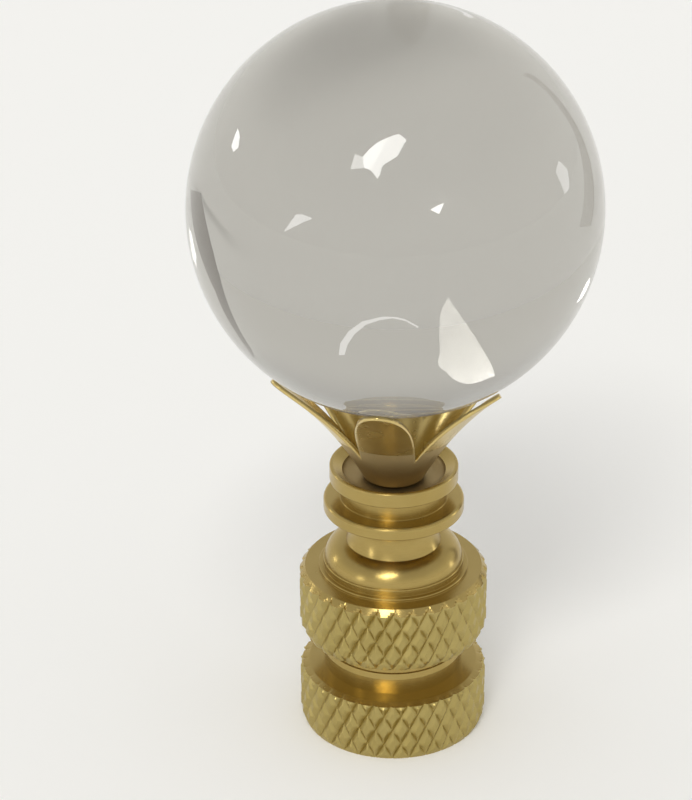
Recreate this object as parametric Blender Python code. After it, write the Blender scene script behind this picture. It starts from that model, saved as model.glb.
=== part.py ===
"""Lamp shade finial: a clear glass ball in a six-petal brass cup, on a turned and knurled brass base.

Metres, +Z up. The origin is the centre of the base's underside, on the axis that all three pieces share.
"""

import math

import bmesh
import bpy

# The glass ball.
BALL_DIAMETER = 0.0350
BALL_SEGMENTS = 36
BALL_RINGS = 18

# The turned base, stage by stage from the underside up. Each height is that of its own stage.
LOWER_BAND_HEIGHT = 0.00555
WAIST_HEIGHT = 0.00360
UPPER_BAND_HEIGHT = 0.00623
DOME_HEIGHT = 0.00277
NECK_HEIGHT = 0.00310
FLANGE_HEIGHT = 0.00115
GROOVE_HEIGHT = 0.00175
RING_HEIGHT = 0.00140

KNURL_DIAMETER = 0.01664
WAIST_DEPTH = 0.00212
SHOULDER_WIDTH = 0.00152
LOW_RIDGE_HEIGHT = 0.00026
RIDGE_STEP = 0.00044
HIGH_RIDGE_HEIGHT = 0.00096
RIDGE_ROUNDING = 0.00014
NECK_DIAMETER = 0.00750
NECK_FLARE_TO_DOME = 0.00045
NECK_FLARE_TO_FLANGE = 0.00070
FLANGE_DIAMETER = 0.01234
RING_DIAMETER = 0.01126
GROOVE_DEPTH = 0.00093
EDGE_BREAK = 0.00014

# The dished top that the cup stands in.
RIM_WIDTH = 0.00068
DISH_DEPTH = 0.00120

# The diamond knurling, rolled on both bands, and the bevels that end it, each as (height, depth).
KNURL_DEPTH = 0.00034
KNURL_TEETH = 33
KNURL_LEAN = math.radians(29)
UNDERSIDE_BEVEL = (0.00080, 0.00032)
SHOULDER_BEVEL = (0.00044, 0.00020)
HANGING_BEVEL = (0.00090, 0.00047)

# The tapped hole in the underside, drawn at the thread's outer diameter.
THREAD_DIAMETER = 0.00635
HOLE_DEPTH = 0.01150
HOLE_MOUTH_BEVEL = 0.00045
DRILL_POINT_ANGLE = math.radians(118)

# The cup, stamped from one sheet: a flat foot, a collar, and petals that flare towards their tips.
SHEET_THICKNESS = 0.00040
FOOT_DIAMETER = 0.00550
COLLAR_LENGTH = 0.00370
PETAL_COUNT = 6
PETAL_LENGTH = 0.01070
SLOPE_AT_FOOT = math.radians(60.9)
SLOPE_AT_TIP = math.radians(41.5)
PETAL_TURN = math.radians(-7)

# Fits between the pieces.
CUP_SEAT_GAP = 0.00030
CUP_SIDE_GAP = 0.00075
BALL_SEAT_GAP = 0.00030

# How finely the curves are cut.
COLUMNS = 2 * KNURL_TEETH
DOME_STEPS = 5
NECK_STEPS = 6
DISH_STEPS = 4
COLLAR_STEPS = 2
PETAL_STEPS = 7
PETAL_STRIPS = 4
SMOOTH_UP_TO = math.radians(28)


def clear_scene():
    for old in list(bpy.data.objects):
        bpy.data.objects.remove(old, do_unlink=True)


def plain_material(name, colour, metallic, roughness, transmission=0.0):
    material = bpy.data.materials.new(name)
    material.use_nodes = True
    shader = material.node_tree.nodes["Principled BSDF"]
    shader.inputs["Base Color"].default_value = (*colour, 1.0)
    shader.inputs["Metallic"].default_value = metallic
    shader.inputs["Roughness"].default_value = roughness
    shader.inputs["Transmission Weight"].default_value = transmission
    material.diffuse_color = (*colour, 1.0)
    return material


def finish_piece(name, bm, material):
    """Turns a bmesh into a named, smooth-shaded object."""
    mesh = bpy.data.meshes.new(name)
    bm.to_mesh(mesh)
    bm.free()
    mesh.shade_smooth()
    mesh.set_sharp_from_angle(angle=SMOOTH_UP_TO)
    mesh.materials.append(material)
    piece = bpy.data.objects.new(name, mesh)
    bpy.context.scene.collection.objects.link(piece)
    return piece


def base_heights():
    """Height of the top of each stage of the base, worked up from the underside."""
    stages = (
        ("lower_band", LOWER_BAND_HEIGHT),
        ("waist", WAIST_HEIGHT),
        ("upper_band", UPPER_BAND_HEIGHT),
        ("dome", DOME_HEIGHT),
        ("neck", NECK_HEIGHT),
        ("flange", FLANGE_HEIGHT),
        ("groove", GROOVE_HEIGHT),
        ("ring", RING_HEIGHT),
    )
    heights = {}
    top = 0.0
    for stage, height in stages:
        top += height
        heights[stage] = top
    return heights


def dish_floor_height():
    return base_heights()["ring"] - DISH_DEPTH


def quarter_curve(start, end, steps):
    """Quarter ellipse in (radius, height) that leaves start vertically and reaches end horizontally."""
    points = []
    for step in range(steps + 1):
        turn = math.pi / 2 * step / steps
        radius = end[0] + (start[0] - end[0]) * math.cos(turn)
        height = start[1] + (end[1] - start[1]) * math.sin(turn)
        points.append((radius, height))
    return points


def knurled_band(bottom, top, bottom_bevel):
    """Stations of one knurled band, as (radius by column, height).

    The two sets of grooves cross on a checkerboard of columns and rows. On the squares between
    the crossings stand the tips of the diamonds. A bevel trims them at each edge of the band.
    """
    tip = KNURL_DIAMETER / 2
    low, high = bottom + bottom_bevel[0], top - SHOULDER_BEVEL[0]
    bottom_edge, top_edge = tip - bottom_bevel[1], tip - SHOULDER_BEVEL[1]
    half_diamond = math.pi * KNURL_DIAMETER / COLUMNS
    rows = max(2, round((top - bottom) * math.tan(KNURL_LEAN) / half_diamond))
    row_height = (top - bottom) / rows

    def bevel_at(height):
        from_bottom = bottom_edge + (tip - bottom_edge) * (height - bottom) / (low - bottom)
        from_top = top_edge + (tip - top_edge) * (top - height) / (top - high)
        return min(from_bottom, from_top)

    def radius_at(height):
        def radius(column):
            share = abs(((height - bottom) / row_height + column) % 2 - 1)
            return min(tip - KNURL_DEPTH * (1 - share), bevel_at(height))

        return radius

    inner = [bottom + row_height * row for row in range(1, rows)]
    heights = [low] + [height for height in inner if low < height < high] + [high]
    stations = [(bottom_edge, bottom)]
    stations += [(radius_at(height), height) for height in heights]
    stations.append((top_edge, top))
    return stations


def hole_stations():
    """The blind tapped hole, from its drilled end down to its bevelled mouth."""
    radius = THREAD_DIAMETER / 2
    return [(radius, HOLE_DEPTH), (radius, HOLE_MOUTH_BEVEL), (radius + HOLE_MOUTH_BEVEL, 0.0)]


def dome_stations(at):
    """Flat shoulder, two fine ridges, then the dome up to the foot of the neck."""
    shoulder = at["upper_band"]
    low = KNURL_DIAMETER / 2 - SHOULDER_BEVEL[1] - SHOULDER_WIDTH
    high = low - RIDGE_STEP
    low_top = shoulder + LOW_RIDGE_HEIGHT
    high_top = shoulder + HIGH_RIDGE_HEIGHT
    ridges = [
        (low + RIDGE_ROUNDING, shoulder),
        (low, low_top - RIDGE_ROUNDING),
        (low - RIDGE_ROUNDING, low_top),
        (high, low_top + RIDGE_ROUNDING),
        (high, high_top - RIDGE_ROUNDING),
        (high - RIDGE_ROUNDING, high_top),
    ]
    dome_foot = (high - 2 * RIDGE_ROUNDING, high_top)
    dome_top = (NECK_DIAMETER / 2 + NECK_FLARE_TO_DOME, at["dome"])
    return ridges + quarter_curve(dome_foot, dome_top, DOME_STEPS)


def neck_stations(at):
    """A cove, narrowest half way up, between the dome and the underside of the flange."""
    points = []
    for step in range(1, NECK_STEPS + 1):
        share = step / NECK_STEPS
        flare = NECK_FLARE_TO_DOME if share < 0.5 else NECK_FLARE_TO_FLANGE
        radius = NECK_DIAMETER / 2 + flare * (2 * share - 1) ** 2
        points.append((radius, at["dome"] + NECK_HEIGHT * share))
    return points


def flange_and_ring_stations(at):
    """Thin flange, plain groove above it, and the ring whose top is dished."""
    flange = FLANGE_DIAMETER / 2
    ring = RING_DIAMETER / 2
    groove = ring - GROOVE_DEPTH
    return [
        (flange - EDGE_BREAK, at["neck"]),
        (flange, at["neck"] + EDGE_BREAK),
        (flange, at["flange"] - EDGE_BREAK),
        (flange - EDGE_BREAK, at["flange"]),
        (groove, at["flange"]),
        (groove, at["groove"]),
        (ring - EDGE_BREAK, at["groove"]),
        (ring, at["groove"] + EDGE_BREAK),
        (ring, at["ring"] - EDGE_BREAK),
        (ring - EDGE_BREAK, at["ring"]),
    ]


def dish_stations(at):
    """From the inner edge of the rim down to a flat floor a little wider than the cup's foot."""
    rim = (RING_DIAMETER / 2 - RIM_WIDTH, at["ring"])
    floor = (FOOT_DIAMETER / 2 + CUP_SIDE_GAP, dish_floor_height())
    return quarter_curve(rim, floor, DISH_STEPS)


def ring_of_vertices(bm, radius, height):
    vertices = []
    for column in range(COLUMNS):
        angle = 2 * math.pi * column / COLUMNS
        here = radius(column) if callable(radius) else radius
        vertices.append(bm.verts.new((here * math.sin(angle), -here * math.cos(angle), height)))
    return vertices


def off_axis(vertex):
    return math.hypot(vertex.co.x, vertex.co.y)


def join_rings(bm, first, second):
    """Two triangles between each pair of columns, folded along the deeper diagonal, as a groove is."""
    for column in range(COLUMNS):
        following = (column + 1) % COLUMNS
        a, b = first[column], first[following]
        c, d = second[following], second[column]
        if off_axis(a) + off_axis(c) <= off_axis(b) + off_axis(d):
            corners = ((a, b, c), (a, c, d))
        else:
            corners = ((a, b, d), (b, c, d))
        for triangle in corners:
            bm.faces.new(triangle)


def make_base(material):
    at = base_heights()
    waist = KNURL_DIAMETER / 2 - WAIST_DEPTH
    stations = hole_stations()
    stations += knurled_band(0.0, at["lower_band"], UNDERSIDE_BEVEL)
    stations += [(waist, at["lower_band"]), (waist, at["waist"])]
    stations += knurled_band(at["waist"], at["upper_band"], HANGING_BEVEL)
    stations += dome_stations(at)
    stations += neck_stations(at)
    stations += flange_and_ring_stations(at)
    stations += dish_stations(at)

    bm = bmesh.new()
    rings = [ring_of_vertices(bm, radius, height) for radius, height in stations]
    for first, second in zip(rings, rings[1:]):
        join_rings(bm, first, second)
    point_height = THREAD_DIAMETER / 2 / math.tan(DRILL_POINT_ANGLE / 2)
    drill_point = bm.verts.new((0.0, 0.0, HOLE_DEPTH + point_height))
    for column in range(COLUMNS):
        bm.faces.new((rings[0][(column + 1) % COLUMNS], rings[0][column], drill_point))
    bm.faces.new(rings[-1])
    return finish_piece("knurled_base", bm, material)


def cup_outline(distance):
    """Radius, height and slope of the cup's outer face, at a distance along it from the foot's edge."""
    length = COLLAR_LENGTH + PETAL_LENGTH
    bend = (SLOPE_AT_TIP - SLOPE_AT_FOOT) / length
    slope = SLOPE_AT_FOOT + bend * distance
    radius = FOOT_DIAMETER / 2 + (math.sin(slope) - math.sin(SLOPE_AT_FOOT)) / bend
    height = (math.cos(SLOPE_AT_FOOT) - math.cos(slope)) / bend
    return radius, dish_floor_height() + CUP_SEAT_GAP + height, slope


def petal_half_width(distance):
    """Half the width of a petal, from the full pitch at the notches to nothing at its round tip."""
    roundness = 0.62
    share = distance / PETAL_LENGTH
    full = cup_outline(COLLAR_LENGTH)[0] * math.pi / PETAL_COUNT
    return full * (1 - share**2) ** roundness


def cup_point(distance, angle):
    radius, height, _ = cup_outline(distance)
    return (radius * math.sin(angle), -radius * math.cos(angle), height)


def cup_ring(bm, distance):
    around = PETAL_COUNT * PETAL_STRIPS
    start = PETAL_TURN - math.pi / PETAL_COUNT
    angles = [start + 2 * math.pi * step / around for step in range(around)]
    return [bm.verts.new(cup_point(distance, angle)) for angle in angles]


def add_petal(bm, root, centre_angle):
    """One petal on its root vertices, in strips that close in to a single vertex at the tip."""
    row = root
    for step in range(1, PETAL_STEPS):
        along = PETAL_LENGTH * math.sin(math.pi / 2 * step / PETAL_STEPS)
        distance = COLLAR_LENGTH + along
        half_angle = petal_half_width(along) / cup_outline(distance)[0]
        shares = [2 * strip / PETAL_STRIPS - 1 for strip in range(PETAL_STRIPS + 1)]
        points = [cup_point(distance, centre_angle + half_angle * share) for share in shares]
        following = [bm.verts.new(point) for point in points]
        for strip in range(PETAL_STRIPS):
            bm.faces.new((row[strip], row[strip + 1], following[strip + 1], following[strip]))
        row = following
    tip = bm.verts.new(cup_point(COLLAR_LENGTH + PETAL_LENGTH, centre_angle))
    for strip in range(PETAL_STRIPS):
        bm.faces.new((row[strip], row[strip + 1], tip))


def make_cup(material):
    bm = bmesh.new()
    rings = [cup_ring(bm, COLLAR_LENGTH * step / COLLAR_STEPS) for step in range(COLLAR_STEPS + 1)]
    around = len(rings[0])
    bm.faces.new(reversed(rings[0]))
    for lower, upper in zip(rings, rings[1:]):
        for step in range(around):
            following = (step + 1) % around
            bm.faces.new((lower[step], lower[following], upper[following], upper[step]))
    for petal in range(PETAL_COUNT):
        first = petal * PETAL_STRIPS
        root = [rings[-1][(first + strip) % around] for strip in range(PETAL_STRIPS + 1)]
        add_petal(bm, root, PETAL_TURN + 2 * math.pi * petal / PETAL_COUNT)
    piece = finish_piece("petal_cup", bm, material)
    sheet = piece.modifiers.new("Sheet", "SOLIDIFY")
    sheet.thickness = SHEET_THICKNESS
    sheet.offset = -1.0
    sheet.use_even_offset = True
    return piece


def ball_centre_height():
    """Lowest centre at which the ball clears the inner face of the petals by the seat gap."""
    reach = BALL_DIAMETER / 2 + BALL_SEAT_GAP
    length = COLLAR_LENGTH + PETAL_LENGTH
    samples = 200
    heights = []
    for sample in range(samples + 1):
        radius, height, slope = cup_outline(length * sample / samples)
        inner_radius = radius - SHEET_THICKNESS * math.sin(slope)
        inner_height = height + SHEET_THICKNESS * math.cos(slope)
        if abs(inner_radius) < reach:
            heights.append(inner_height + math.sqrt(reach**2 - inner_radius**2))
    return max(heights)


def make_ball(material):
    bm = bmesh.new()
    radius = BALL_DIAMETER / 2
    bmesh.ops.create_uvsphere(bm, u_segments=BALL_SEGMENTS, v_segments=BALL_RINGS, radius=radius)
    piece = finish_piece("glass_ball", bm, material)
    piece.location = (0.0, 0.0, ball_centre_height())
    return piece


clear_scene()
make_base(plain_material("turned_brass", (0.62, 0.47, 0.19), 1.0, 0.22))
make_cup(plain_material("stamped_brass", (0.66, 0.50, 0.20), 1.0, 0.18))
make_ball(plain_material("clear_glass", (0.93, 0.93, 0.90), 0.0, 0.0, 1.0))
bpy.context.view_layer.update()
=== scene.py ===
import math

import bpy
from mathutils import Matrix, Vector


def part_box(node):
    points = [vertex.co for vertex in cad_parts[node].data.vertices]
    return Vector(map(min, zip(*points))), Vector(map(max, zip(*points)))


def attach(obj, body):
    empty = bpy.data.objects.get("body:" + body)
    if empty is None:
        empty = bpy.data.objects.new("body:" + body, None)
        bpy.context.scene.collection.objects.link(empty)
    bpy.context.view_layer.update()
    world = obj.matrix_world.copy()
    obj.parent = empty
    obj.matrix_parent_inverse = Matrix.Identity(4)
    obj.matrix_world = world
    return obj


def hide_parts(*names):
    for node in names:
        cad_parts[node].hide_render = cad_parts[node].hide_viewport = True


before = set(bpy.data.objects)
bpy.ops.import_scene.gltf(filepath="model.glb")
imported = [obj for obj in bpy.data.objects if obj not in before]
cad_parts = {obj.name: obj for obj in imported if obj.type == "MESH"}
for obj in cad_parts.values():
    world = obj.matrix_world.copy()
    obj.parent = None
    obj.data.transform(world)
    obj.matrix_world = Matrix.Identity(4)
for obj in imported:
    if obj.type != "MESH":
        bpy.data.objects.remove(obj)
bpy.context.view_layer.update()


# The base is one bar of brass, turned in a lathe, with two bands rolled under a diamond knurl.
# Its underside is drilled and tapped, and screws onto the threaded post on top of a lamp's harp.
# The fine rings that the cutting tool leaves run round every plain face.
mm = 0.001
full_turn = 2 * math.pi

tip_radius = 8.32 * mm
lower_band_top = 5.62 * mm
waist_top = 9.15 * mm
lip_start = 7.15 * mm
lip_top = 7.68 * mm
cove_start = 8.00 * mm
upper_band_top = 15.38 * mm
dome_top = 18.05 * mm
neck_top = 21.25 * mm
flange_top = 22.40 * mm
groove_top = 24.15 * mm
ring_top = 25.55 * mm

waist_radius = 6.12 * mm
lip_radius = 6.26 * mm
lip_slant = 0.07 * mm
undercut_radius = 6.07 * mm
low_ridge_radius = 6.62 * mm
low_ridge_rise = 0.26 * mm
high_ridge_radius = 6.20 * mm
high_ridge_rise = 0.94 * mm
neck_radius = 3.75 * mm
neck_flare_to_dome = 0.45 * mm
neck_flare_to_flange = 0.70 * mm
flange_radius = 6.17 * mm
groove_radius = 4.70 * mm
ring_radius = 5.63 * mm
rim_width = 0.30 * mm
rim_chamfer = (0.80 * mm, 0.50 * mm)
dish_depth = 1.20 * mm
dish_floor_radius = 3.50 * mm
edge_rounding = 0.14 * mm
flange_rounding = 0.28 * mm
fine_rounding = 0.06 * mm
ridge_foot_rounding = 0.03 * mm
low_ridge_rounding = 0.09 * mm
high_ridge_rounding = 0.10 * mm
high_ridge_land = 0.12 * mm
undercut_bevel = 0.06 * mm
knurl_margin = 0.10 * mm
hanging_margin = 0.05 * mm
smallest_ring = 0.02 * mm
dome_steps = 28
neck_steps = 24

knurl_teeth = 33
knurl_lean = math.radians(29)
right_groove_depth = 0.36 * mm
left_groove_depth = 0.27 * mm
right_groove_share = 5 / 16
left_groove_share = 4 / 16
pressed_share = 0.55
underside_bevel = (0.80 * mm, 0.32 * mm)
shelf_bevel = (0.24 * mm, 0.80 * mm)
shoulder_bevel = (0.50 * mm, 0.48 * mm)
hanging_bevel = (0.90 * mm, 0.47 * mm)
columns_per_tooth = 16
knurl_columns = knurl_teeth * columns_per_tooth
plain_columns = knurl_columns // 4

thread_radius = 3.175 * mm
thread_depth = 0.52 * mm
thread_pitch = 0.94 * mm
thread_end = 9.60 * mm
thread_runout = 0.30 * mm
thread_steepness = 1.25
rows_per_turn = 8
hole_depth = 11.50 * mm
mouth_bevel = 0.45 * mm
underside_margin = 0.30 * mm
drill_point_angle = math.radians(118)

base_points = []
base_faces = []
knurl_faces = []


def lay_ring(radii, height):
    """Adds one ring of points, a radius for each column, and gives their numbers."""
    first = len(base_points)
    for column, radius in enumerate(radii):
        angle = full_turn * column / len(radii)
        base_points.append((radius * math.sin(angle), -radius * math.cos(angle), height))
    return list(range(first, first + len(radii)))


def off_axis(point):
    return math.hypot(base_points[point][0], base_points[point][1])


def join_equal(lower, upper, knurled):
    """Quads between two rings, or on the knurl two triangles folded along the groove."""
    count = len(lower)
    for column in range(count):
        following = (column + 1) % count
        a, b, c, d = lower[column], lower[following], upper[following], upper[column]
        if not knurled:
            base_faces.append((a, b, c, d))
            continue
        knurl_faces.extend((len(base_faces), len(base_faces) + 1))
        if off_axis(a) + off_axis(c) <= off_axis(b) + off_axis(d):
            base_faces.extend(((a, b, c), (a, c, d)))
        else:
            base_faces.extend(((a, b, d), (b, c, d)))


def join_unequal(lower, upper):
    """Fans between a ring of the knurl's columns and one of the plain columns."""
    rising = len(lower) > len(upper)
    fine, coarse = (lower, upper) if rising else (upper, lower)
    share = len(fine) // len(coarse)
    for step in range(len(coarse)):
        left, right = coarse[step], coarse[(step + 1) % len(coarse)]
        edge = [fine[(step * share + part) % len(fine)] for part in range(share + 1)]
        middle = edge[share // 2]
        triangles = [(middle, right, left)]
        for part in range(share):
            apex = left if part < share // 2 else right
            triangles.append((edge[part], edge[part + 1], apex))
        base_faces.extend(triangles if rising else [triangle[::-1] for triangle in triangles])


def join_rings(rings, knurled=False):
    for lower, upper in zip(rings, rings[1:]):
        if len(lower) == len(upper):
            join_equal(lower, upper, knurled)
        else:
            join_unequal(lower, upper)


def rounded(corners, steps=4):
    """Outline through (radius, height, rounding) corners, each turned into an arc where it is rounded."""
    points = []
    for number, (radius, height, rounding) in enumerate(corners):
        here = Vector((radius, height))
        if rounding == 0 or number in (0, len(corners) - 1):
            points.append(here)
            continue
        before = (Vector(corners[number - 1][:2]) - here).normalized()
        after = (Vector(corners[number + 1][:2]) - here).normalized()
        half_angle = before.angle(after) / 2
        reach = rounding / math.tan(half_angle)
        start, end = here + before * reach, here + after * reach
        centre = here + (before + after).normalized() * rounding / math.sin(half_angle)
        for step in range(steps + 1):
            blend = start.lerp(end, step / steps) - centre
            points.append(centre + blend.normalized() * rounding)
    return points


def quarter_curve(start, end, steps=20):
    """Quarter of an ellipse that leaves its start upright and reaches its end level."""
    points = []
    for step in range(steps + 1):
        turn = full_turn / 4 * step / steps
        radius = end[0] + (start[0] - end[0]) * math.cos(turn)
        height = start[1] + (end[1] - start[1]) * math.sin(turn)
        points.append(Vector((radius, height)))
    return points


def plain_rings(points):
    return [lay_ring([radius] * plain_columns, height) for radius, height in points]


def groove_at(phase, depth, share):
    """Depth of a V groove that comes once in each turn of the phase."""
    distance = abs(phase - round(phase))
    return depth * max(0.0, 1 - distance / share)


def knurl_rings(bottom, top, bottom_bevel, top_bevel, bottom_share):
    """Rings of one knurled band, whose V grooves run on over the bottom bevel at a share of their depth."""
    tooth_width = full_turn * tip_radius / knurl_teeth
    row_wish = tooth_width / columns_per_tooth / math.tan(knurl_lean)
    rows = round((top - bottom) / row_wish)
    rings = []
    for row in range(rows + 1):
        height = bottom + (top - bottom) * row / rows
        from_bottom = tip_radius - bottom_bevel[1] * (1 - (height - bottom) / bottom_bevel[0])
        from_top = tip_radius - top_bevel[1] * (1 - (top - height) / top_bevel[0])
        radii = []
        for column in range(knurl_columns):
            right = groove_at((column - row) / columns_per_tooth, right_groove_depth, right_groove_share)
            left = groove_at((column + row) / columns_per_tooth, left_groove_depth, left_groove_share)
            groove = max(right, left)
            radii.append(min(from_bottom - bottom_share * groove, from_top, tip_radius - groove))
        rings.append(lay_ring(radii, height))
    return rings


def thread_rings():
    """Rings of the tapped hole, from the end of the thread down to its mouth."""
    rows = round((thread_end - mouth_bevel) / thread_pitch * rows_per_turn)
    rings = []
    for row in range(rows + 1):
        height = thread_end + (mouth_bevel - thread_end) * row / rows
        fade = min(1.0, row / rows_per_turn, (rows - row) / rows_per_turn)
        radii = []
        for column in range(plain_columns):
            phase = height / thread_pitch - column / plain_columns
            ridge = 1 - 2 * abs(phase - round(phase))
            radii.append(thread_radius - thread_depth * fade * min(1.0, thread_steepness * ridge))
        rings.append(lay_ring(radii, height))
    return rings


drill_radius = thread_radius - thread_depth
drill_point = hole_depth + drill_radius / math.tan(drill_point_angle / 2)
hole_rings = plain_rings([(smallest_ring, drill_point), (drill_radius, hole_depth)])
hole_rings += plain_rings([(drill_radius, thread_end + thread_runout)])
hole_rings += thread_rings()
hole_rings += plain_rings([(thread_radius + mouth_bevel, 0.0)])
underside_edge = tip_radius - underside_bevel[1]
hole_rings += plain_rings([(underside_edge - underside_margin, 0.0)])
join_rings(hole_rings)

lower_knurl = knurl_rings(0.0, lower_band_top, underside_bevel, shelf_bevel, 0.0)
join_rings(lower_knurl, knurled=True)

shelf_edge = tip_radius - shelf_bevel[1] - knurl_margin
hanging_edge = tip_radius - hanging_bevel[1] - pressed_share * right_groove_depth - hanging_margin
waist_outline = [Vector((shelf_edge, lower_band_top)), Vector((waist_radius, lower_band_top))]
waist_outline.append(Vector((lip_radius, lip_start)))
waist_outline.append(Vector((lip_radius - lip_slant, lip_top)))
waist_outline.append(Vector((undercut_radius, lip_top + undercut_bevel)))
waist_outline += quarter_curve((undercut_radius, cove_start), (hanging_edge, waist_top))
waist_rings = plain_rings(waist_outline)
join_rings(waist_rings)

upper_knurl = knurl_rings(waist_top, upper_band_top, hanging_bevel, shoulder_bevel, pressed_share)
join_rings(upper_knurl, knurled=True)

low_ridge_top = upper_band_top + low_ridge_rise
high_ridge_top = upper_band_top + high_ridge_rise
shoulder_outline = rounded([
    (tip_radius - shoulder_bevel[1] - knurl_margin, upper_band_top, 0),
    (low_ridge_radius, upper_band_top, ridge_foot_rounding),
    (low_ridge_radius, low_ridge_top, low_ridge_rounding),
    (high_ridge_radius, low_ridge_top, ridge_foot_rounding),
    (high_ridge_radius, high_ridge_top, high_ridge_rounding),
    (high_ridge_radius - high_ridge_land, high_ridge_top, 0),
])
dome_crown = (neck_radius + neck_flare_to_dome, dome_top)
dome_outline = quarter_curve(shoulder_outline[-1], dome_crown, steps=dome_steps)[1:]
neck_outline = []
for neck_step in range(1, neck_steps):
    share = neck_step / neck_steps
    flare = neck_flare_to_dome if share < 0.5 else neck_flare_to_flange
    cove = neck_radius + flare * (2 * share - 1) ** 2
    neck_outline.append(Vector((cove, dome_top + (neck_top - dome_top) * share)))
flange_outline = rounded([
    (neck_radius + neck_flare_to_flange, neck_top, 0),
    (flange_radius, neck_top, edge_rounding),
    (flange_radius, flange_top, flange_rounding),
    (groove_radius, flange_top, fine_rounding),
    (groove_radius, groove_top, fine_rounding),
    (ring_radius, groove_top, edge_rounding),
    (ring_radius, ring_top, edge_rounding),
    (ring_radius - rim_width, ring_top, 0),
])
rim_inner = flange_outline[-1] - Vector(rim_chamfer)
flange_outline.append(rim_inner)
dish_outline = quarter_curve(rim_inner, (dish_floor_radius, ring_top - dish_depth))[1:]
dish_outline.append(Vector((smallest_ring, ring_top - dish_depth)))
upper_rings = plain_rings(shoulder_outline + dome_outline + neck_outline + flange_outline)
join_rings(upper_rings)
dish_start = len(base_faces)
dish_rings = plain_rings(dish_outline)
join_rings([upper_rings[-1]] + dish_rings)
base_faces.append(tuple(dish_rings[-1]))
dish_end = len(base_faces)

join_rings([hole_rings[-1], lower_knurl[0]])
join_rings([lower_knurl[-1], waist_rings[0]])
join_rings([waist_rings[-1], upper_knurl[0]])
join_rings([upper_knurl[-1], upper_rings[0]])
base_faces.append(tuple(hole_rings[0][::-1]))


def make_piece(name, points, faces, sharp_angle):
    """A smooth-shaded mesh object, with the edges that turn by more than the angle kept sharp."""
    mesh = bpy.data.meshes.new(name)
    mesh.from_pydata(points, [], faces)
    mesh.shade_smooth()
    mesh.set_sharp_from_angle(angle=math.radians(sharp_angle))
    piece = bpy.data.objects.new(name, mesh)
    bpy.context.scene.collection.objects.link(piece)
    return piece


def add_node(material, kind, **values):
    """A node with its settings, given as an attribute's name or as an input's name after in_."""
    node = material.node_tree.nodes.new(kind)
    for name, value in values.items():
        if name.startswith("in_"):
            node.inputs[name[3:].replace("_", " ")].default_value = value
        else:
            setattr(node, name, value)
    return node


def connect(material, source, target):
    material.node_tree.links.new(source, target)


highlight_turn = 0.25
ring_scale = 5200.0
blotch_scale = 330.0
polish_spread = 0.25


def brass(name, colour, worn_colour, roughness, anisotropy, ring_depth):
    """Brass with fine rings round the axis, and soft blotches of tone and of polish."""
    material = bpy.data.materials.new(name)
    material.use_nodes = True
    shader = material.node_tree.nodes["Principled BSDF"]
    shader.inputs["Metallic"].default_value = 1.0
    shader.inputs["Anisotropic"].default_value = anisotropy
    lay = add_node(material, "ShaderNodeTangent", direction_type="RADIAL", axis="Z")
    connect(material, lay.outputs["Tangent"], shader.inputs["Tangent"])
    shader.inputs["Anisotropic Rotation"].default_value = highlight_turn
    place = add_node(material, "ShaderNodeTexCoord").outputs["Object"]
    flat = add_node(material, "ShaderNodeVectorMath", operation="MULTIPLY")
    flat.inputs[1].default_value = (1, 1, 0)
    connect(material, place, flat.inputs[0])
    across = add_node(material, "ShaderNodeVectorMath", operation="LENGTH")
    connect(material, flat.outputs["Vector"], across.inputs[0])
    parts = add_node(material, "ShaderNodeSeparateXYZ")
    connect(material, place, parts.inputs["Vector"])
    turned = add_node(material, "ShaderNodeCombineXYZ")
    connect(material, across.outputs["Value"], turned.inputs["X"])
    connect(material, parts.outputs["Z"], turned.inputs["Y"])
    rings = add_node(material, "ShaderNodeTexNoise", in_Scale=ring_scale, in_Detail=3.0, in_Roughness=0.6)
    connect(material, turned.outputs["Vector"], rings.inputs["Vector"])
    bump = add_node(material, "ShaderNodeBump", in_Strength=1.0, in_Distance=ring_depth)
    connect(material, rings.outputs["Fac"], bump.inputs["Height"])
    connect(material, bump.outputs["Normal"], shader.inputs["Normal"])
    blotches = add_node(material, "ShaderNodeTexNoise", in_Scale=blotch_scale, in_Detail=4.0)
    blotches.inputs["Roughness"].default_value = 0.55
    connect(material, place, blotches.inputs["Vector"])
    tone = add_node(material, "ShaderNodeMix", data_type="RGBA")
    tone.inputs[6].default_value = (*colour, 1)
    tone.inputs[7].default_value = (*worn_colour, 1)
    connect(material, blotches.outputs["Fac"], tone.inputs["Factor"])
    connect(material, tone.outputs[2], shader.inputs["Base Color"])
    polish = add_node(material, "ShaderNodeMapRange")
    polish.inputs["To Min"].default_value = roughness * (1 - polish_spread)
    polish.inputs["To Max"].default_value = roughness * (1 + polish_spread)
    connect(material, blotches.outputs["Fac"], polish.inputs["Value"])
    connect(material, polish.outputs["Result"], shader.inputs["Roughness"])
    return material


turned_brass = brass(
    "turned_brass", (0.49, 0.366, 0.134), (0.405, 0.293, 0.092),
    roughness=0.25, anisotropy=0.8, ring_depth=0.0008 * mm,
)
knurled_brass = brass(
    "knurled_brass", (0.49, 0.395, 0.155), (0.41, 0.32, 0.105),
    roughness=0.36, anisotropy=0.0, ring_depth=0.0035 * mm,
)
# A duller, greyer brass for the dish and the low part of the cup. It is darker than the petals' brass, and
# its tone is a painted shade for that recess, on a rougher finish.
dull_brass_and_painted_shade = brass(
    "dull_brass_and_painted_shade", (0.53, 0.415, 0.22), (0.41, 0.31, 0.145),
    roughness=0.50, anisotropy=0.0, ring_depth=0.0010 * mm,
)

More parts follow.
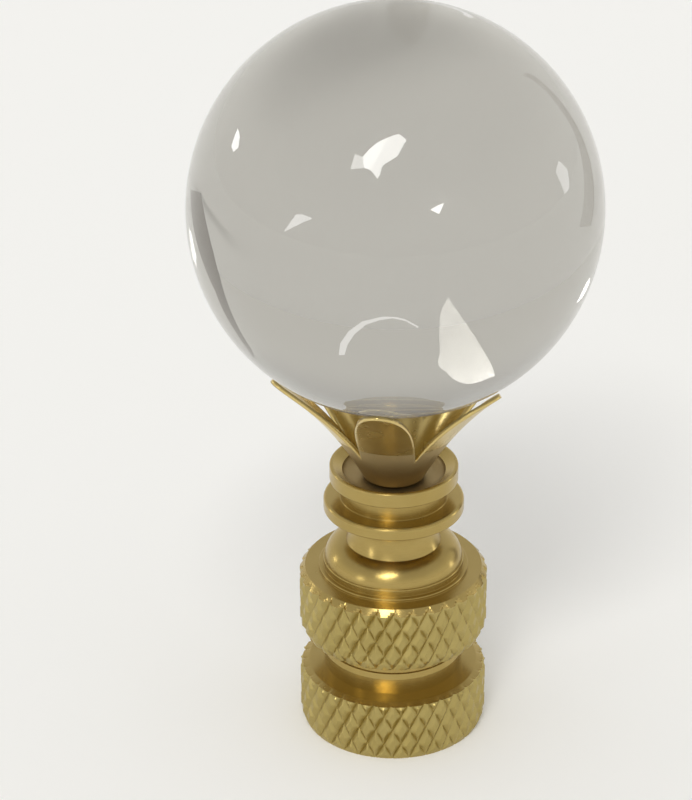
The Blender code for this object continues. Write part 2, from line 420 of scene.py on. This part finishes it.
base = make_piece("turned_base", base_points, base_faces, sharp_angle=9)
base.data.materials.append(turned_brass)
base.data.materials.append(knurled_brass)
base.data.materials.append(dull_brass_and_painted_shade)
for face in knurl_faces:
    height = base.data.polygons[face].center.z
    on_shelf = lower_band_top - shelf_bevel[0] < height < waist_top
    on_shoulder = height > upper_band_top - shoulder_bevel[0]
    base.data.polygons[face].material_index = 0 if on_shelf or on_shoulder else 1
# The dish takes the duller brass, a painted shade for the recess under the cup.
for face in range(dish_start, dish_end):
    base.data.polygons[face].material_index = 2
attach(base, "root")
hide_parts("knurled_base")


# The cup is stamped from one sheet of brass: a flat foot, a short collar and six rounded petals.
# It stands in the base's dished top, and its petals flare to hold the ball between them.
# Low on the outside it takes the dish's duller, darker brass, a painted shade for the dark recess it stands
# in. The petals and their edges take a brighter brass, the lit copy of the same metal.
sheet_thickness = 0.40 * mm
foot_radius = 2.75 * mm
collar_length = 3.70 * mm
petal_lengths = [length * mm for length in (10.65, 9.80, 10.10, 10.00, 10.10, 10.25)]
petal_count = len(petal_lengths)
longest_petal = max(petal_lengths)
slope_at_foot = math.radians(63.0)
slope_at_tip = math.radians(40.5)
petal_turn = math.radians(-7)
petal_widening = 0.25
tip_bluntness = 2.5
# Below this height the cup's outside is painted darker, as shade from the recess it stands in.
painted_shade_top = 29.3 * mm
petal_steps = 28
petal_strips = 24
collar_steps = 10
cup_foot_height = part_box("petal_cup")[0][2]
cup_bend = (slope_at_tip - slope_at_foot) / (collar_length + longest_petal)


def cup_outline(distance):
    """Radius and height of the cup's outer face, at a distance along it from the foot's edge."""
    slope = slope_at_foot + cup_bend * distance
    radius = foot_radius + (math.sin(slope) - math.sin(slope_at_foot)) / cup_bend
    return radius, cup_foot_height + (math.cos(slope_at_foot) - math.cos(slope)) / cup_bend


def cup_point(distance, angle):
    radius, height = cup_outline(distance)
    return (radius * math.sin(angle), -radius * math.cos(angle), height)


def petal_half_width(share):
    """Half of a petal's width at a share of its length: it widens a little, then ends bluntly."""
    root = cup_outline(collar_length)[0] * math.pi / petal_count
    return root * (1 + petal_widening * share) * math.sqrt(1 - share ** tip_bluntness)


cup_points = [(0.0, 0.0, cup_foot_height)]
cup_faces = []
around = petal_count * petal_strips
collar_rows = []
for collar_step in range(collar_steps + 1):
    first = len(cup_points)
    for step in range(around):
        angle = petal_turn + full_turn * (step / around - 0.5 / petal_count)
        cup_points.append(cup_point(collar_length * collar_step / collar_steps, angle))
    collar_rows.append(list(range(first, first + around)))
for step in range(around):
    following = (step + 1) % around
    cup_faces.append((0, collar_rows[0][following], collar_rows[0][step]))
    for lower, upper in zip(collar_rows, collar_rows[1:]):
        cup_faces.append((lower[step], lower[following], upper[following], upper[step]))
for petal in range(petal_count):
    centre_angle = petal_turn + full_turn * petal / petal_count
    row = [collar_rows[-1][(petal * petal_strips + strip) % around] for strip in range(petal_strips + 1)]
    for step in range(1, petal_steps):
        share = math.sin(full_turn / 4 * step / petal_steps)
        along = petal_lengths[petal] * share
        half_angle = petal_half_width(share) / cup_outline(collar_length + along)[0]
        first = len(cup_points)
        for strip in range(petal_strips + 1):
            angle = centre_angle + half_angle * (2 * strip / petal_strips - 1)
            cup_points.append(cup_point(collar_length + along, angle))
        upper = list(range(first, first + petal_strips + 1))
        for strip in range(petal_strips):
            cup_faces.append((row[strip], row[strip + 1], upper[strip + 1], upper[strip]))
        row = upper
    tip = len(cup_points)
    cup_points.append(cup_point(collar_length + petal_lengths[petal], centre_angle))
    for strip in range(petal_strips):
        cup_faces.append((row[strip], row[strip + 1], tip))

cup = make_piece("stamped_cup", cup_points, cup_faces, sharp_angle=40)
sheet = cup.modifiers.new("Sheet", "SOLIDIFY")
sheet.thickness = sheet_thickness
sheet.offset = -1.0
sheet.use_even_offset = True
sheet.material_offset = 1
sheet.material_offset_rim = 1
cup.data.materials.append(dull_brass_and_painted_shade)
stamped_brass = brass(
    "stamped_brass", (0.71, 0.56, 0.24), (0.62, 0.475, 0.185),
    roughness=0.26, anisotropy=0.5, ring_depth=0.0005 * mm,
)
cup.data.materials.append(stamped_brass)
# Faces below the set height take the darker brass, a painted shade. The petals above take the brighter, lit
# brass.
for face in cup.data.polygons:
    face.material_index = 0 if face.center.z < painted_shade_top else 1
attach(cup, "root")
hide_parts("petal_cup")


# The ball is solid clear glass, ground and polished all over, and glued into the cup.
# Its tint here is a mid grey, darker than plain clear glass, for the tone it has against white paper: a
# painted tone for the darker surroundings that the real ball shows through it.
# Its polish has a slight ripple.
ball_low, ball_high = (Vector(corner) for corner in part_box("glass_ball"))
ball_centre = (ball_low + ball_high) / 2
ball_radius = (ball_high.z - ball_low.z) / 2
ball_columns = 144
ball_rows = 72
# Painted tone: this grey stands in for the darker surroundings seen through the clear ball.
painted_surroundings_tint = (0.53, 0.517, 0.484)
glass_bending = 1.52
ripple_scale = 90.0
ripple_depth = 0.01 * mm
ball_points = [(0.0, 0.0, -ball_radius)]
for row in range(1, ball_rows):
    down = math.pi * row / ball_rows
    for column in range(ball_columns):
        angle = full_turn * column / ball_columns
        out = ball_radius * math.sin(down)
        ball_points.append((out * math.sin(angle), -out * math.cos(angle), -ball_radius * math.cos(down)))
ball_points.append((0.0, 0.0, ball_radius))
ball_faces = []
for column in range(ball_columns):
    following = (column + 1) % ball_columns
    ball_faces.append((0, 1 + following, 1 + column))
    for row in range(ball_rows - 2):
        lower, upper = 1 + row * ball_columns, 1 + (row + 1) * ball_columns
        ball_faces.append((lower + column, lower + following, upper + following, upper + column))
    last = 1 + (ball_rows - 2) * ball_columns
    ball_faces.append((last + column, last + following, len(ball_points) - 1))
ball = make_piece("clear_ball", ball_points, ball_faces, sharp_angle=180)
ball.location = ball_centre

clear_glass = bpy.data.materials.new("clear_glass")
clear_glass.use_nodes = True
glass_shader = clear_glass.node_tree.nodes["Principled BSDF"]
glass_shader.inputs["Base Color"].default_value = (*painted_surroundings_tint, 1)
glass_shader.inputs["Roughness"].default_value = 0.0
glass_shader.inputs["IOR"].default_value = glass_bending
glass_shader.inputs["Transmission Weight"].default_value = 1.0
ripple = add_node(clear_glass, "ShaderNodeTexNoise", in_Scale=ripple_scale, in_Detail=1.0)
ball_place = add_node(clear_glass, "ShaderNodeTexCoord").outputs["Object"]
connect(clear_glass, ball_place, ripple.inputs["Vector"])
ripple_bump = add_node(clear_glass, "ShaderNodeBump", in_Strength=1.0, in_Distance=ripple_depth)
connect(clear_glass, ripple.outputs["Fac"], ripple_bump.inputs["Height"])
connect(clear_glass, ripple_bump.outputs["Normal"], glass_shader.inputs["Normal"])
ball.data.materials.append(clear_glass)
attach(ball, "root")
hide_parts("glass_ball")


# The studio is a wide sheet of pale paper in soft light from all round, with a window high in front
# and a little to the left. The smaller panes, the bent strip and the grey post light almost nothing:
# they stand where their images in the ball and in the brass fall on the right spots.
paper_reach = 3.0
paper_colour = (0.97, 0.968, 0.96)
horizon_colour = (0.87, 0.86, 0.82)
overhead_colour = (0.62, 0.615, 0.60)
daylight = (1.0, 0.995, 0.97)
post_colour = (1.0, 0.92, 0.82)
window_distance = 40.0
lamp_distance = 2.0

paper_sheet = [(-paper_reach, -paper_reach, 0), (paper_reach, -paper_reach, 0)]
paper_sheet += [(paper_reach, paper_reach, 0), (-paper_reach, paper_reach, 0)]
floor = make_piece("paper_floor", paper_sheet, [(0, 1, 2, 3)], sharp_angle=60)
paper = bpy.data.materials.new("pale_paper")
paper.use_nodes = True
paper_shader = paper.node_tree.nodes["Principled BSDF"]
paper_shader.inputs["Roughness"].default_value = 0.9
paper_shader.inputs["Base Color"].default_value = (*paper_colour, 1)
floor.data.materials.append(paper)

world = bpy.data.worlds.new("soft_surroundings")
bpy.context.scene.world = world
world.use_nodes = True
sky = world.node_tree
direction = sky.nodes.new("ShaderNodeTexCoord")
height_parts = sky.nodes.new("ShaderNodeSeparateXYZ")
sky.links.new(direction.outputs["Generated"], height_parts.inputs["Vector"])
sky_tone = sky.nodes.new("ShaderNodeMix")
sky_tone.data_type = "RGBA"
sky_tone.inputs[6].default_value = (*horizon_colour, 1)
sky_tone.inputs[7].default_value = (*overhead_colour, 1)
sky_change = sky.nodes.new("ShaderNodeMapRange")
sky_change.interpolation_type = "SMOOTHSTEP"
sky_change.inputs["From Min"].default_value = 0.22
sky_change.inputs["From Max"].default_value = 0.66
sky.links.new(height_parts.outputs["Z"], sky_change.inputs["Value"])
sky.links.new(sky_change.outputs["Result"], sky_tone.inputs["Factor"])
sky.links.new(sky_tone.outputs[2], sky.nodes["Background"].inputs["Color"])


def toward(azimuth, elevation):
    """Direction from the ball. Azimuth 0 is the camera's side, and positive is to the camera's right."""
    a, e = math.radians(azimuth), math.radians(elevation)
    return Vector((math.sin(a) * math.cos(e), -math.cos(a) * math.cos(e), math.sin(e)))


def add_window(name, corners, distance, strength, colour=(1, 1, 1)):
    """A glowing pane whose corners lie in the given directions from the ball."""
    points = [ball_centre + toward(*corner) * distance for corner in corners]
    pane = make_piece(name, points, [tuple(range(len(points)))], sharp_angle=60)
    glow = bpy.data.materials.new(name)
    glow.use_nodes = True
    shader = glow.node_tree.nodes["Principled BSDF"]
    shader.inputs["Base Color"].default_value = (0, 0, 0, 1)
    shader.inputs["Emission Color"].default_value = (*colour, 1)
    shader.inputs["Emission Strength"].default_value = strength
    pane.data.materials.append(glow)


left_pane = [(-32.3, 41.8), (-33.8, 50.1), (-26.6, 49.7), (-23.0, 44.2)]
middle_pane = [(-23.0, 44.2), (-26.6, 49.7), (-23.8, 54.3), (-18.2, 58.9), (-7.1, 62.8), (-17.9, 43.7)]
right_pane = [(-17.9, 43.7), (-7.1, 62.8), (2.9, 64.6), (11.7, 61.2), (1.2, 52.0), (-7.0, 48.5)]
right_pane += [(-10.4, 46.5), (-10.8, 42.0), (-12.3, 39.4)]
add_window("window_left_pane", left_pane, window_distance, 7.0, daylight)
add_window("window_middle_pane", middle_pane, window_distance, 13.5, daylight)
add_window("window_right_pane", right_pane, window_distance, 11.0, daylight)

far_left_corners = [(-61, 1), (-56, 11), (-53, 12.5), (-46, 12.5)]
far_right_corners = [(105, -1), (104, 8), (110, 9), (114, 3), (110, -1.7)]
beside_corners = [(-121, 14), (-117, 9.7), (-113, 10), (-111, 13), (-115, 15)]
fleck_corners = [(-175.2, -24), (-174.1, -24.5), (-173.1, -24.8), (-173.9, -23.4)]
add_window("far_left_window", far_left_corners, lamp_distance, 7.0)
add_window("far_right_window", far_right_corners, lamp_distance, 3.5)
add_window("window_beside", beside_corners, lamp_distance, 8.0)
add_window("fleck_of_light", fleck_corners, 0.115, 2.2)
strip_outer = [(168.5, 7.4), (169.3, 3.4), (171.3, -0.4), (174, -3.3), (177.2, -4.6), (179.6, -4.9)]
strip_outer += [(181.8, -4.2), (184.3, -2.3)]
strip_inner = [(184.1, -2.0), (181.8, -3.8), (179.6, -4.4), (177.2, -3.9), (174.7, -2.6), (172.4, 0.2)]
strip_inner += [(170.8, 3.4), (169.8, 7)]
add_window("bent_strip_of_light", strip_outer + strip_inner, 0.60, 1.35)

post_edge = [(110, -14), (114, -11), (119, -7), (123.5, -3.5), (128, 0.2), (132, 4.2), (133, 9.7)]
post_edge += [(135, 15.4), (136, 21), (135, 26.4), (138, 24), (140, 18.8), (139.5, 13), (139, 7)]
post_edge += [(138.5, 2), (138, -3), (136, -8), (133, -12), (129, -15.5), (125, -18.2)]
add_window("grey_post", post_edge, 0.16, 0.30, post_colour)


# The camera stands in front, 25 cm from the ball, and looks down on the finial.
# It stands this near because the real picture shows that much perspective.
camera_place = (-0.000313, -0.22891, 0.152236)
camera_pitch = math.radians(27.761)
camera_yaw = math.radians(0.962)
camera_roll = math.radians(-0.18)
camera_data = bpy.data.cameras.new("camera")
camera_data.sensor_width = 36.0
camera_data.lens = 135.0
camera_data.clip_start = 0.01
camera = bpy.data.objects.new("camera", camera_data)
aim = Matrix.Rotation(camera_yaw, 4, "Z") @ Matrix.Rotation(math.radians(90) - camera_pitch, 4, "X")
aim @= Matrix.Rotation(camera_roll, 4, "Z")
camera.matrix_world = Matrix.Translation(camera_place) @ aim
bpy.context.scene.collection.objects.link(camera)
bpy.context.scene.camera = camera
bpy.context.scene.view_settings.view_transform = "Standard"

bpy.context.view_layer.update()
